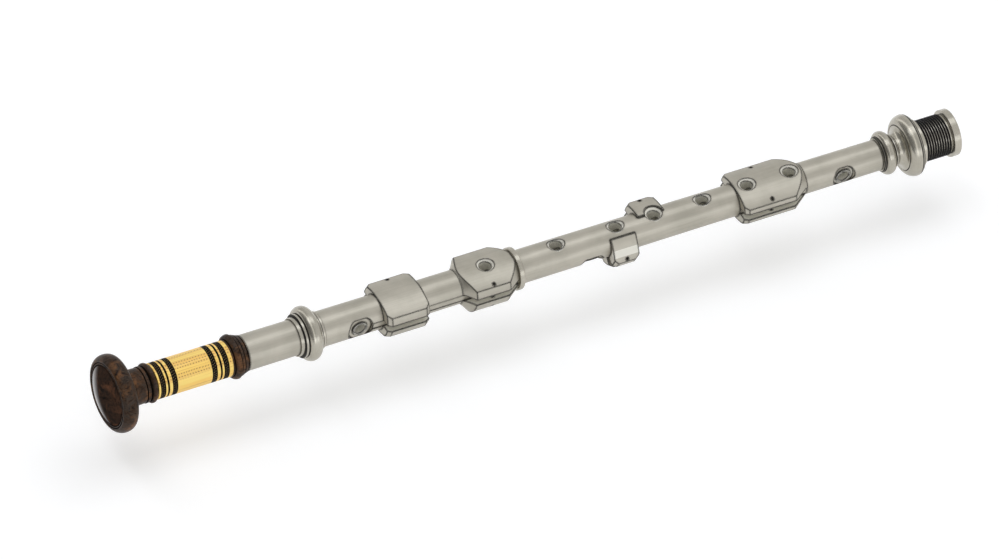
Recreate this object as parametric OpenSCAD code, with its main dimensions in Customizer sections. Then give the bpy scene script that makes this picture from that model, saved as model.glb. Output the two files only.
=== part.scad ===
// Smallpipes chanter: a thin tapered pipe in two push-fit lengths, with slotted key blocks,
// finger holes and key pad seats, turned rings, a lapped stock tenon that holds the reed,
// an inlaid foot sleeve and a foot cap with a domed face.
// The x axis is the bore. x = 0 is the shoulder of the stock tenon and the foot lies at -x.
// The finger holes face +z. Keys lie on the front (-y), on the back (+y) and on a slant below the front.
// A size that ends in _at is a distance from the shoulder towards the foot.

/* [Pipe] */
// Diameter of the bore
bore_d = 4.3; // [3.8:0.1:5]
// Outer diameter of the pipe at the shoulder of the stock tenon
pipe_head_d = 10.74; // [10.4:0.02:11.2]
// Outer diameter of the pipe at the foot joint
pipe_foot_d = 12.8; // [12.4:0.1:13.4]
// Where the upper and the lower length of the pipe meet
mid_joint_at = 153.1; // [152.5:0.1:154]
// Where the lower length meets the foot sleeve
foot_joint_at = 258.9; // [258:0.1:262]

/* [Finger holes] */
// Diameter of a finger hole
finger_hole_d = 4.4; // [3.6:0.1:5]
// Diameter of the countersunk rim of a finger hole
finger_rim_d = 6.4; // [5.6:0.1:7]
// Depth of the countersunk rim
finger_rim_depth = 0.9; // [0.5:0.1:1.2]
// First finger hole, in the upper key block
finger_hole_1_at = 48.1; // [47:0.1:51]
// Second finger hole, in the upper key block
finger_hole_2_at = 64.4; // [58:0.1:65]
// Third finger hole
finger_hole_3_at = 81.7; // [78:0.1:84]
// Fourth finger hole
finger_hole_4_at = 100.4; // [96:0.1:104]
// Fifth finger hole
finger_hole_5_at = 115.2; // [110:0.1:120]
// Sixth finger hole
finger_hole_6_at = 138.1; // [132:0.1:144]
// Seventh finger hole, in the joint block
finger_hole_7_at = 165.4; // [165.4:0.1:168]
// Thumb hole, on the underside
thumb_hole_at = 38.5; // [37.5:0.1:39.5]

/* [Key blocks] */
// Diameter over the rounded sides of a key block
block_d = 20; // [19:0.1:21]
// Radius of the curved top face of the lower blocks
block_crown_r = 19.7; // [16:0.1:24]
// Height of that top face over the bore's axis
block_rise = 6.5; // [6.4:0.05:7]
// Radius of the curved top face of the upper key block
upper_crown_r = 17.4; // [15:0.1:24]
// Height of the upper block's top face over the bore's axis
upper_rise = 6; // [5.9:0.05:6.6]
// Width of a key slot
key_slot_w = 2.4; // [2:0.1:3]
// Distance from the bore's axis to the floor of a key slot
key_slot_floor = 5.85; // [5.6:0.05:6]
// Diameter of a key's axle hole
axle_hole_d = 1; // [0.8:0.1:1.4]
// Distance from the bore's axis to an axle hole
axle_offset = 8; // [7.6:0.1:8.4]
// How far a block's outer corner is cut back across the pipe
block_chamfer = 1; // [0.4:0.1:1.6]
// How far a block's outer corner is cut back along the pipe
block_chamfer_run = 1.5; // [0.6:0.1:2]
// Middle of the lower key block
lower_block_at = 199; // [197:0.1:201]
// Length of the lower key block
lower_block_len = 16.3; // [14:0.1:18]
// Foot end of the flat part of the joint block
joint_block_at = 173; // [171.5:0.1:174]
// Length of the hollow curve at the joint block's foot end
joint_cove_len = 3.7; // [3:0.1:4.5]
// Length of the coned nose at the joint block's head end
joint_nose_len = 5; // [4:0.1:6]
// Axle hole of the joint block
joint_axle_at = 166; // [164:0.1:168]
// Foot end of the upper key block
upper_block_at = 69.3; // [68.5:0.1:72]
// Length of the upper key block, with its nose
upper_block_len = 26.1; // [25.5:0.1:28]
// Length of the coned nose at the upper key block's head end
upper_nose_len = 6.5; // [5:0.1:7]
// Axle holes of the upper key block
upper_axle_at = 58.5; // [57:0.1:60]
// Middle of the half block on the back
back_block_at = 101.5; // [100:0.1:103]
// Length of the half block on the back
back_block_len = 10; // [8:0.1:12]
// Middle of the slanted half block
slant_block_at = 114.4; // [113:0.1:116]
// Length of the slanted half block
slant_block_len = 9.6; // [8:0.1:11]

/* [Key pad seats] */
// Diameter of the pocket round a pad seat on the lower part of the pipe
pad_pocket_d = 9.2; // [8:0.1:10]
// Diameter of the pocket round a pad seat on the upper part of the pipe
upper_pocket_d = 8; // [7:0.1:8.6]
// Depth of a pocket below the pipe's surface
pad_pocket_depth = 1.45; // [1.1:0.05:1.7]
// Diameter of the raised lip that a pad closes on
pad_lip_d = 5.6; // [5.2:0.1:6.2]
// Height of the lip over the pocket's floor
pad_lip_h = 0.55; // [0.3:0.05:0.8]
// Diameter of the tone hole in a pad seat
pad_hole_d = 4.1; // [3.4:0.1:4.6]
// Pad seat near the foot, on the back
low_back_pad_at = 252.6; // [251:0.1:253]
// Pad seat between the lower ring and the lower block, on the front
low_front_pad_at = 215.9; // [214:0.1:218]
// Pad seat on the slant below the front
slant_pad_at = 126; // [125:0.1:129]
// Pad seat on the back, between the half block and the upper block
mid_back_pad_at = 90.9; // [89:0.1:92]
// Pad seat on the front, above the upper block
high_front_pad_at = 28.9; // [28:0.1:31]
// Pad seat on the back, nearest the reed
high_back_pad_at = 21; // [21:0.1:23]

/* [Push-fit joints] */
// Diameter of a socket
socket_d = 9.2; // [8.8:0.1:9.6]
// Length of the tenon between the two lengths of the pipe
mid_tenon_len = 8.6; // [7:0.1:8.9]
// Length of the tenon in the foot sleeve
foot_tenon_len = 11.5; // [9:0.1:12]
// Length of the foot cap's tenon
cap_tenon_len = 9.5; // [8:0.1:11]
// Thickness of the thread lapping on a tenon
lapping_t = 0.5; // [0.4:0.05:0.7]
// Plain length of a tenon at each end of its lapping
tenon_land = 1.4; // [1:0.1:1.8]
// Space left beyond the end of a tenon
socket_spare = 0.5; // [0.3:0.1:1]

/* [Lower ring] */
// Head end of the lower ring
lower_ring_at = 229.7; // [226:0.1:232]
// Length of the lower ring
lower_ring_len = 9.5; // [8.5:0.1:11]
// Diameter over the lower ring's bead
lower_ring_d = 19.6; // [18:0.1:21]

/* [Joint collar] */
// Diameter of the collar on the joint's socket
collar_d = 15.3; // [14.4:0.1:16.5]
// Length of the collar
collar_len = 1.9; // [1.5:0.1:2.5]

/* [Head] */
// Diameter of the spigot that carries the top ring and the head
head_spigot_d = 9.2; // [8.8:0.1:9.4]
// Foot end of the top ring
top_ring_at = 13.8; // [13.4:0.1:14]
// Diameter over the top ring's bead
top_ring_d = 15.4; // [14:0.1:16.5]
// Foot end of the bell
bell_at = 7.5; // [7:0.1:8]
// Diameter over the bell
bell_d = 21.9; // [20:0.1:24]
// Diameter of the edge round the bell's foot side
bell_edge_d = 16.1; // [15:0.1:17]
// Where the spigot ends inside the head
spigot_end_at = 4; // [3.6:0.1:4.4]
// Diameter of the reed chamber
chamber_d = 12; // [11:0.1:12.4]
// Diameter of the stock tenon
stock_tenon_d = 16.7; // [16:0.1:18]
// Length of the stock tenon
stock_tenon_len = 15.1; // [14.8:0.1:18]
// Length of the plain land next to the shoulder
stock_land_len = 2; // [1.5:0.1:2.5]
// Length of the collar at the end of the stock tenon
stock_collar_len = 2.9; // [2:0.1:3.2]
// Diameter of the floor under the lapping
lapping_floor_d = 13.9; // [13.6:0.1:14.2]
// Diameter of the waxed thread
thread_d = 0.5; // [0.4:0.02:0.52]
// Distance from one turn of the thread to the next
thread_pitch = 0.94; // [0.93:0.01:1]
// Least space between the thread and the lands beside it
thread_end_gap = 0.1; // [0.05:0.05:0.5]

/* [Foot sleeve] */
// Diameter of the foot sleeve
sleeve_d = 13; // [12.6:0.1:14]
// Length of the sleeve that shows
sleeve_len = 28.7; // [28.4:0.1:34]
// Length of the dark ferrule
ferrule_len = 6.4; // [5.5:0.1:7.5]
// Diameter over the ferrule's bead
ferrule_d = 16; // [15:0.1:17.5]
// Diameter of the sleeve's spigot inside the ferrule
ferrule_seat_d = 11.4; // [11.2:0.1:11.8]
// Depth that the inlaid bands reach below the sleeve's surface
band_depth = 0.6; // [0.4:0.05:0.8]

/* [Foot cap] */
// Diameter over the cap's rim
cap_d = 28; // [26:0.1:31]
// Diameter of the domed disc in the cap's face
dome_d = 21.4; // [19:0.1:23]
// Height of the dome over the rim's ring groove
dome_h = 2.2; // [1.5:0.1:3]
// Thickness of the disc below its dome
dome_seat_h = 1.6; // [1:0.1:2.2]
// Length of the cap from its ring groove to the sleeve
cap_len = 17; // [16:0.1:20]
// Thickness of the cap's rim
rim_len = 5.4; // [5:0.1:6.5]
// Diameter of the neck
neck_d = 12.7; // [12:0.1:13.4]
// Diameter of the bead next to the sleeve
neck_bead_d = 14.9; // [14:0.1:16]

/* [Reed] */
// Outer diameter of the staple
staple_d = 4.8; // [4.6:0.1:5]
// Wall of the staple
staple_wall = 0.4; // [0.3:0.05:0.5]
// Length of the staple inside its seat
staple_seat_len = 12.5; // [11:0.1:12.8]
// Length of the staple inside the blades
staple_tip_len = 6.5; // [5:0.1:8]
// Length of the blades
blade_len = 17.8; // [16:0.1:18]
// Width of the blades at the lips
lip_w = 9.2; // [8:0.1:10]
// Thickness of one blade at the lips
lip_t = 0.35; // [0.25:0.05:0.5]
// Thickness of one blade at its tail
blade_tail_t = 0.8; // [0.6:0.05:1]

/* [Hidden] */

// Clearance in radius where one piece turns or slides in another
run_gap = 0.05;
// Clearance in radius where two pieces are fixed together
glue_gap = 0.02;
// How far a cut runs past the surface that it opens
past = 1;
round_fn = 96;
small_fn = 48;
arc_steps = 8;

pipe_r_head = pipe_head_d / 2;
pipe_r_foot = pipe_foot_d / 2;
block_r = block_d / 2;
tenon_d = socket_d - 2 * run_gap;
lapping_seat_d = socket_d - 4 * run_gap - 2 * lapping_t;
collar_foot_at = mid_joint_at + collar_len;
collar_seat_d = pipe_foot_d - 1;
lower_ring_seat_d = pipe_foot_d + 0.2;
upper_finger_holes = [finger_hole_3_at, finger_hole_4_at, finger_hole_5_at, finger_hole_6_at];
upper_block_holes = [finger_hole_1_at, finger_hole_2_at];
sleeve_foot_at = foot_joint_at + ferrule_len + sleeve_len;
cap_groove_at = sleeve_foot_at + cap_len;

// Three inlaid bands at the sleeve's foot end, each a distance from that end and a length,
// and their mirror image at its head end
band_edge = 0.7;
band_head_edge = 1.5;
band_w = 2;
band_thin_w = 0.75;
band_step = 4.6;
band_thin_step = 2.7;
band_set = [
    [band_edge, band_w],
    [band_edge + band_thin_step, band_thin_w],
    [band_edge + band_step, band_w]
];
band_places = concat(band_set, [
    for (i = [2:-1:0])
        [sleeve_len - band_head_edge + band_edge - band_set[i][0] - band_set[i][1], band_set[i][1]]
]);

key_front = 0;
key_back = 180;
key_slant = 45;

function pipe_r(at) = pipe_r_head + (pipe_r_foot - pipe_r_head) * at / foot_joint_at;

// Points [radius, x] of an elliptic arc about [cr, cx], from angle a0 to a1
function arc(cr, cx, half_r, half_x, a0, a1) = [
    for (i = [0:arc_steps])
        let (a = a0 + (a1 - a0) * i / arc_steps)
        [cr + half_r * cos(a), cx + half_x * sin(a)]
];

// A solid turned about the bore from points [radius, x]
module turned(profile) {
    rotate([0, 90, 0])
        rotate_extrude($fn = round_fn)
            polygon(profile);
}

module rod(d, from, to) {
    translate([from, 0, 0])
        rotate([0, 90, 0])
            cylinder(d = d, h = to - from, $fn = round_fn);
}

// Puts a cut that is drawn for the front (-y) on the side that a key lies on
module on_side(turn) {
    rotate([turn, 0, 0])
        children();
}

// A length of the tapered pipe, between two distances from the shoulder
module pipe(at_foot, at_head) {
    turned([
        [0, -at_foot],
        [pipe_r(at_foot), -at_foot],
        [pipe_r(at_head), -at_head],
        [0, -at_head]
    ]);
}

// A tenon whose thread seat lies between two lands. It runs from its shoulder towards the foot or the head.
module tenon(shoulder_x, len, way) {
    tip_x = shoulder_x + way * len;
    turned([
        [0, shoulder_x - way * past],
        [tenon_d / 2, shoulder_x - way * past],
        [tenon_d / 2, shoulder_x + way * tenon_land],
        [lapping_seat_d / 2, shoulder_x + way * tenon_land],
        [lapping_seat_d / 2, tip_x - way * tenon_land],
        [tenon_d / 2, tip_x - way * tenon_land],
        [tenon_d / 2, tip_x - way * 0.3],
        [tenon_d / 2 - 0.3, tip_x],
        [0, tip_x]
    ]);
}

// The ring of thread in a tenon's seat
module lapping(shoulder_x, len, way) {
    near = shoulder_x + way * (tenon_land + run_gap);
    far = shoulder_x + way * (len - tenon_land - run_gap);
    turned([
        [lapping_seat_d / 2 + run_gap, near],
        [socket_d / 2 - run_gap, near],
        [socket_d / 2 - run_gap, far],
        [lapping_seat_d / 2 + run_gap, far]
    ]);
}

// Everything below a block's curved top face
module under_crown(at_foot, at_head, rise, crown_r) {
    translate([-at_foot - past, 0, rise - crown_r])
        rotate([0, 90, 0])
            cylinder(r = crown_r, h = at_foot - at_head + 2 * past, $fn = 2 * round_fn);
}

// A turned blank with a curved face above and below. A lower face that lies at block_d leaves the side round.
module block(profile, at_foot, at_head, rise, crown_r, low_rise) {
    intersection() {
        turned(profile);
        under_crown(at_foot, at_head, rise, crown_r);
        mirror([0, 0, 1])
            under_crown(at_foot, at_head, low_rise, crown_r);
    }
}

// A blank with square ends and cut-back corners
function square_blank(at_foot, at_head) = [
    [0, -at_foot],
    [block_r - block_chamfer, -at_foot],
    [block_r, -at_foot + block_chamfer_run],
    [block_r, -at_head - block_chamfer_run],
    [block_r - block_chamfer, -at_head],
    [0, -at_head]
];

module half_block(at_mid, len) {
    at_foot = at_mid + len / 2;
    at_head = at_mid - len / 2;
    intersection() {
        block(square_blank(at_foot, at_head), at_foot, at_head, block_rise, block_crown_r, block_rise);
        translate([-at_foot - past, -block_d, -block_d])
            cube([len + 2 * past, block_d, 2 * block_d]);
    }
}

// The slot that a key swings in, on the front
module key_slot(at_foot, at_head) {
    translate([-at_foot, -block_r - past, -key_slot_w / 2])
        cube([at_foot - at_head, block_r + past - key_slot_floor, key_slot_w]);
}

// The hole for a key's axle, across the slot
module axle_hole(at) {
    translate([-at, -axle_offset, -block_r])
        cylinder(d = axle_hole_d, h = block_d, $fn = small_fn);
}

// The pocket and tone hole of a pad seat, on the front, with its raised lip left standing
module pad_seat(at, pocket_d) {
    floor_at = pipe_r(at) - pad_pocket_depth;
    translate([-at, 0, 0])
        rotate([90, 0, 0]) {
            difference() {
                translate([0, 0, floor_at])
                    cylinder(d = pocket_d, h = block_r, $fn = round_fn);
                translate([0, 0, floor_at - past])
                    cylinder(d = pad_lip_d, h = past + pad_lip_h, $fn = round_fn);
            }
            cylinder(d = pad_hole_d, h = block_r, $fn = small_fn);
        }
}

// A finger hole from above, into a surface at the given height
module finger_hole(at, surface) {
    translate([-at, 0, 0]) {
        cylinder(d = finger_hole_d, h = surface + past, $fn = small_fn);
        translate([0, 0, surface - finger_rim_depth])
            cylinder(d1 = finger_hole_d, d2 = finger_rim_d, h = finger_rim_depth, $fn = small_fn);
        translate([0, 0, surface])
            cylinder(d = finger_rim_d, h = past, $fn = small_fn);
    }
}

module upper_body() {
    block_head_at = upper_block_at - upper_block_len;
    nose = [
        [0, -upper_block_at],
        [block_r - block_chamfer, -upper_block_at],
        [block_r, -upper_block_at + block_chamfer_run],
        [block_r, -block_head_at - upper_nose_len],
        [pipe_r(block_head_at) - 0.1, -block_head_at],
        [0, -block_head_at]
    ];
    seat_foot = -spigot_end_at - staple_seat_len - socket_spare;
    color([0.72, 0.70, 0.66])
        difference() {
            union() {
                pipe(mid_joint_at, top_ring_at);
                rod(head_spigot_d, -top_ring_at - past, -spigot_end_at);
                tenon(-mid_joint_at, mid_tenon_len, -1);
                block(nose, upper_block_at, block_head_at, upper_rise, upper_crown_r, upper_rise);
                on_side(key_back)
                    half_block(back_block_at, back_block_len);
                on_side(key_slant)
                    half_block(slant_block_at, slant_block_len);
            }
            rod(bore_d, -mid_joint_at - mid_tenon_len - past, -spigot_end_at + past);
            rod(staple_d + 2 * run_gap, seat_foot, -spigot_end_at + past);
            for (at = upper_finger_holes)
                finger_hole(at, pipe_r(at));
            for (at = upper_block_holes)
                finger_hole(at, upper_rise);
            rotate([180, 0, 0])
                finger_hole(thumb_hole_at, pipe_r(thumb_hole_at));
            on_side(key_front) {
                pad_seat(high_front_pad_at, upper_pocket_d);
                key_slot(upper_block_at + past, block_head_at);
                axle_hole(upper_axle_at);
            }
            on_side(key_back) {
                pad_seat(high_back_pad_at, upper_pocket_d);
                pad_seat(mid_back_pad_at, upper_pocket_d);
                key_slot(upper_block_at + past, block_head_at);
                key_slot(back_block_at + back_block_len / 2 + past, back_block_at - back_block_len / 2 - past);
                axle_hole(upper_axle_at);
                axle_hole(back_block_at);
            }
            on_side(key_slant) {
                pad_seat(slant_pad_at, pad_pocket_d);
                key_slot(slant_block_at + slant_block_len / 2 + past, slant_block_at - slant_block_len / 2 - past);
                axle_hole(slant_block_at);
            }
        }
}

module lower_body() {
    block_foot_at = lower_block_at + lower_block_len / 2;
    block_head_at = lower_block_at - lower_block_len / 2;
    cove_foot_at = joint_block_at + joint_cove_len;
    cove_r = pipe_r(cove_foot_at) - 0.05;
    joint_blank = concat(
        [[0, -cove_foot_at]],
        [
            for (i = [0:arc_steps])
                let (t = i / arc_steps)
                [cove_r + (block_r - cove_r) * pow(t, 1.35), -cove_foot_at + joint_cove_len * t]
        ],
        [
            [block_r, -collar_foot_at - joint_nose_len],
            [collar_seat_d / 2 + 0.7, -collar_foot_at],
            [0, -collar_foot_at]
        ]
    );
    color([0.72, 0.70, 0.66])
        difference() {
            union() {
                pipe(foot_joint_at, collar_foot_at);
                tenon(-foot_joint_at, foot_tenon_len, -1);
                rod(lower_ring_seat_d, -lower_ring_at - lower_ring_len, -lower_ring_at);
                rod(collar_seat_d, -collar_foot_at - past, -mid_joint_at);
                block(
                    square_blank(block_foot_at, block_head_at), block_foot_at, block_head_at,
                    block_rise, block_crown_r, block_rise
                );
                block(joint_blank, cove_foot_at, collar_foot_at, block_rise, block_crown_r, block_d);
            }
            rod(bore_d, -foot_joint_at - foot_tenon_len - past, -mid_joint_at + past);
            rod(socket_d, -mid_joint_at - mid_tenon_len - socket_spare, -mid_joint_at + past);
            finger_hole(finger_hole_7_at, block_rise);
            on_side(key_front) {
                pad_seat(low_front_pad_at, pad_pocket_d);
                key_slot(low_front_pad_at - pad_pocket_d / 2 + past, collar_foot_at);
                axle_hole(joint_axle_at);
            }
            on_side(key_back) {
                pad_seat(low_back_pad_at, pad_pocket_d);
                key_slot(block_foot_at + past, block_head_at - past);
                axle_hole(lower_block_at);
            }
        }
}

// The turned ring at the top of the pipe, with stepped lines on both sides of its bead
module top_bead() {
    len = top_ring_at - bell_at;
    hole_r = head_spigot_d / 2 + glue_gap;
    bead_x = -top_ring_at + len * 0.44;
    color([0.72, 0.70, 0.66])
        turned(concat(
            [
                [hole_r, -top_ring_at],
                [pipe_r(top_ring_at) + 0.2, -top_ring_at],
                [pipe_r(top_ring_at) + 0.8, -top_ring_at + len * 0.06],
                [pipe_r(top_ring_at) + 0.8, -top_ring_at + len * 0.15]
            ],
            arc(top_ring_d / 2 - 1.3, bead_x, 1.3, len * 0.27, -90, 90),
            [
                [pipe_r(bell_at) + 0.5, bead_x + len * 0.29],
                [pipe_r(bell_at) + 0.5, bead_x + len * 0.4],
                [pipe_r(bell_at) + 0.1, bead_x + len * 0.42],
                [pipe_r(bell_at) + 0.1, -bell_at],
                [hole_r, -bell_at]
            ]
        ));
}

// The bell and the stock tenon, turned in one piece round the reed chamber
module head_mount() {
    hole_r = head_spigot_d / 2 + glue_gap;
    chamber_r = chamber_d / 2;
    edge_x = -bell_at + 2.5;
    belly_x = -1.4;
    tenon_r = stock_tenon_d / 2;
    floor_r = lapping_floor_d / 2;
    collar_x = stock_tenon_len - stock_collar_len;
    color([0.72, 0.70, 0.66])
        turned(concat(
            [
                [hole_r, -bell_at],
                [pipe_r(bell_at) + 0.1, -bell_at],
                [pipe_r(bell_at) + 1, -bell_at + 1.2]
            ],
            arc(bell_edge_d / 2, belly_x, (bell_d - bell_edge_d) / 2, belly_x - edge_x, -90, 0),
            [
                [bell_d / 2 - 0.35, belly_x / 2],
                [bell_d / 2 - 1.2, 0],
                [tenon_r, 0],
                [tenon_r, stock_land_len - 0.3],
                [floor_r, stock_land_len],
                [floor_r, collar_x],
                [tenon_r, collar_x + 0.2],
                [tenon_r, stock_tenon_len - 0.3],
                [tenon_r - 0.3, stock_tenon_len],
                [chamber_r + 0.4, stock_tenon_len],
                [chamber_r, stock_tenon_len - 0.4],
                [chamber_r, -spigot_end_at],
                [hole_r, -spigot_end_at]
            ]
        ));
}

// Thread lapping: one unbroken helix of thread on the floor of the stock tenon
rings_per_turn = 24;
thread_sides = 6;
thread_path_r = lapping_floor_d / 2 + run_gap + thread_d / 2;
lapping_space = stock_tenon_len - stock_collar_len - stock_land_len;
thread_turns = floor((lapping_space - thread_d - 2 * thread_end_gap) / thread_pitch);
thread_start_x = stock_land_len + (lapping_space - thread_turns * thread_pitch) / 2;
thread_rings = thread_turns * rings_per_turn;

function thread_point(i) =
    let (a = 360 * i / rings_per_turn)
    [
        thread_start_x + thread_pitch * i / rings_per_turn,
        thread_path_r * cos(a),
        thread_path_r * sin(a)
    ];

// Direction of the helix at ring i, as a unit vector
function thread_way(i) =
    let (
        a = 360 * i / rings_per_turn,
        along = thread_pitch / (2 * PI * thread_path_r),
        v = [along, -sin(a), cos(a)]
    )
    v / norm(v);

// The path, with a straight end one thread diameter long before and after the helix
thread_path = concat(
    [thread_point(0) - thread_way(0) * thread_d],
    [for (i = [0:thread_rings]) thread_point(i)],
    [thread_point(thread_rings) + thread_way(thread_rings) * thread_d]
);
thread_ways = concat(
    [thread_way(0)],
    [for (i = [0:thread_rings]) thread_way(i)],
    [thread_way(thread_rings)]
);
thread_outs = concat(
    [[0, 1, 0]],
    [
        for (i = [0:thread_rings])
            let (a = 360 * i / rings_per_turn)
            [0, cos(a), sin(a)]
    ],
    [[0, cos(360 * thread_turns), sin(360 * thread_turns)]]
);

// Least distance between the surfaces of two stretches of the thread that lie half a turn or more apart
thread_gap = min([
    for (i = [0:len(thread_path) - 1])
        for (j = [i + rings_per_turn / 2:len(thread_path) - 1])
            norm(thread_path[i] - thread_path[j])
]) - thread_d;
echo(thread_gap = thread_gap);

module tenon_lapping() {
    last = len(thread_path) - 1;
    points = [
        for (i = [0:last])
            let (side = cross(thread_ways[i], thread_outs[i]))
            for (k = [0:thread_sides - 1])
                let (b = 360 * k / thread_sides)
                thread_path[i] + thread_d / 2 * (cos(b) * thread_outs[i] + sin(b) * side)
    ];
    walls = [
        for (i = [0:last - 1])
            for (k = [0:thread_sides - 1])
                let (
                    a = i * thread_sides + k,
                    b = i * thread_sides + (k + 1) % thread_sides
                )
                for (face = [[a, a + thread_sides, b], [b, a + thread_sides, b + thread_sides]])
                    face
    ];
    ends = [
        for (k = [1:thread_sides - 2])
            for (face = [
                [0, k, k + 1],
                [last * thread_sides, last * thread_sides + k + 1, last * thread_sides + k]
            ])
                face
    ];
    color([0.08, 0.08, 0.08])
        polyhedron(points = points, faces = concat(walls, ends));
}

module mid_lapping() {
    color([0.08, 0.08, 0.08])
        lapping(-mid_joint_at, mid_tenon_len, -1);
}

module foot_lapping() {
    color([0.08, 0.08, 0.08])
        lapping(-foot_joint_at, foot_tenon_len, -1);
}

module cap_lapping() {
    color([0.08, 0.08, 0.08])
        lapping(-sleeve_foot_at, cap_tenon_len, 1);
}

// The collar that strengthens the socket's mouth
module socket_collar() {
    hole_r = collar_seat_d / 2 + glue_gap;
    edge = 0.35;
    color([0.72, 0.70, 0.66])
        turned([
            [hole_r, -collar_foot_at],
            [collar_d / 2 - edge, -collar_foot_at],
            [collar_d / 2, -collar_foot_at + edge],
            [collar_d / 2, -mid_joint_at - edge],
            [collar_d / 2 - edge, -mid_joint_at],
            [hole_r, -mid_joint_at]
        ]);
}

// The turned ring above the foot, with two steps on its foot side
module lower_bead() {
    hole_r = lower_ring_seat_d / 2 + glue_gap;
    foot_x = -lower_ring_at - lower_ring_len;
    bead_x = foot_x + lower_ring_len * 0.54;
    half_len = lower_ring_len * 0.3;
    step = 0.42;
    color([0.72, 0.70, 0.66])
        turned(concat(
            [
                [hole_r, foot_x],
                [hole_r + step, foot_x],
                [hole_r + step, foot_x + lower_ring_len * 0.17],
                [hole_r + 3.3 * step, foot_x + lower_ring_len * 0.17],
                [hole_r + 3.3 * step, bead_x - half_len * 0.92]
            ],
            arc(lower_ring_d / 2 - 2.2, bead_x, 2.2, half_len * 0.9, -80, 90),
            [
                [hole_r + 1.4 * step, bead_x + half_len],
                [hole_r + 1.4 * step, bead_x + half_len * 1.15],
                [hole_r + 0.6 * step, bead_x + half_len * 1.2],
                [hole_r + 0.6 * step, -lower_ring_at],
                [hole_r, -lower_ring_at]
            ]
        ));
}

module foot_sleeve() {
    ferrule_foot_x = -foot_joint_at - ferrule_len;
    color([0.93, 0.76, 0.36])
        difference() {
            union() {
                rod(sleeve_d, -sleeve_foot_at, ferrule_foot_x);
                rod(ferrule_seat_d, ferrule_foot_x - past, -foot_joint_at);
            }
            rod(bore_d, -sleeve_foot_at - past, -foot_joint_at + past);
            rod(socket_d, -foot_joint_at - foot_tenon_len - socket_spare, -foot_joint_at + past);
            rod(socket_d, -sleeve_foot_at - past, -sleeve_foot_at + cap_tenon_len + socket_spare);
            for (band = band_places)
                difference() {
                    rod(sleeve_d + 2 * past, -sleeve_foot_at + band[0], -sleeve_foot_at + band[0] + band[1]);
                    rod(sleeve_d - 2 * band_depth, -sleeve_foot_at, ferrule_foot_x);
                }
        }
}

// The dark ring between the sleeve and the pipe, with fine lines beside its bead
module sleeve_ferrule() {
    hole_r = ferrule_seat_d / 2 + glue_gap;
    foot_x = -foot_joint_at - ferrule_len;
    bead_x = foot_x + ferrule_len * 0.46;
    color([0.24, 0.13, 0.09])
        turned(concat(
            [
                [hole_r, foot_x],
                [sleeve_d / 2, foot_x],
                [sleeve_d / 2, foot_x + ferrule_len * 0.1]
            ],
            arc(sleeve_d / 2 + 0.1, bead_x, ferrule_d / 2 - sleeve_d / 2 - 0.1, ferrule_len * 0.34, -90, 60),
            [
                [sleeve_d / 2 + 0.55, bead_x + ferrule_len * 0.32],
                [sleeve_d / 2 + 0.55, bead_x + ferrule_len * 0.44],
                [pipe_r_foot + 0.3, bead_x + ferrule_len * 0.46],
                [pipe_r_foot + 0.1, -foot_joint_at],
                [hole_r, -foot_joint_at]
            ]
        ));
}

// One black band let into the sleeve
module inlay_band(n) {
    from = -sleeve_foot_at + band_places[n][0];
    to = from + band_places[n][1];
    inner_r = sleeve_d / 2 - band_depth + glue_gap;
    color([0.07, 0.06, 0.05])
        turned([[inner_r, from], [sleeve_d / 2, from], [sleeve_d / 2, to], [inner_r, to]]);
}

// The cap: a broad rim, a waisted neck and a bead, with a tenon that closes the bore
module foot_cap() {
    rim_x = -cap_groove_at + rim_len;
    rim_mid_x = -cap_groove_at + rim_len * 0.56;
    groove_r = dome_d / 2 + 1.3;
    neck_r = neck_d / 2;
    bead_x = -sleeve_foot_at - 1.5;
    color([0.25, 0.14, 0.10])
        difference() {
            union() {
                turned(concat(
                    [
                        [0, -cap_groove_at],
                        [groove_r, -cap_groove_at]
                    ],
                    arc(groove_r, rim_mid_x, cap_d / 2 - groove_r, rim_mid_x + cap_groove_at, -80, 80),
                    [
                        [groove_r - 1.6, rim_x],
                        [neck_r + 1.6, rim_x + 0.2],
                        [neck_r + 0.7, rim_x + 1.2],
                        [neck_r + 0.2, rim_x + 3],
                        [neck_r, bead_x - 2.6],
                        [neck_r + 0.3, bead_x - 2.6],
                        [neck_r + 0.3, bead_x - 1.6]
                    ],
                    arc(neck_bead_d / 2 - 0.9, bead_x, 0.9, 1.4, -90, 90),
                    [
                        [sleeve_d / 2, -sleeve_foot_at],
                        [0, -sleeve_foot_at]
                    ]
                ));
                tenon(-sleeve_foot_at, cap_tenon_len, 1);
            }
            rod(dome_d + 2 * glue_gap, -cap_groove_at - past, -cap_groove_at + dome_seat_h);
        }
}

// The domed disc let into the cap's face
module cap_dome() {
    dome_r = dome_d / 2;
    sphere_r = (dome_r * dome_r + dome_h * dome_h) / (2 * dome_h);
    color([0.22, 0.10, 0.07])
        turned(concat(
            [
                [0, -cap_groove_at + dome_seat_h],
                [dome_r, -cap_groove_at + dome_seat_h],
                [dome_r, -cap_groove_at - 0.01]
            ],
            [
                for (i = [1:arc_steps])
                    let (r = dome_r * (1 - i / arc_steps))
                    [r, -cap_groove_at - dome_h + sphere_r - sqrt(sphere_r * sphere_r - r * r)]
            ]
        ));
}

// The reed: a tapered metal staple, two cane blades, a binding and a wire bridle
staple_neck_x = -spigot_end_at + 0.5;
blade_tip_x = staple_neck_x + blade_len;
neck_r_in = staple_d / 2 - 0.5;

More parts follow.
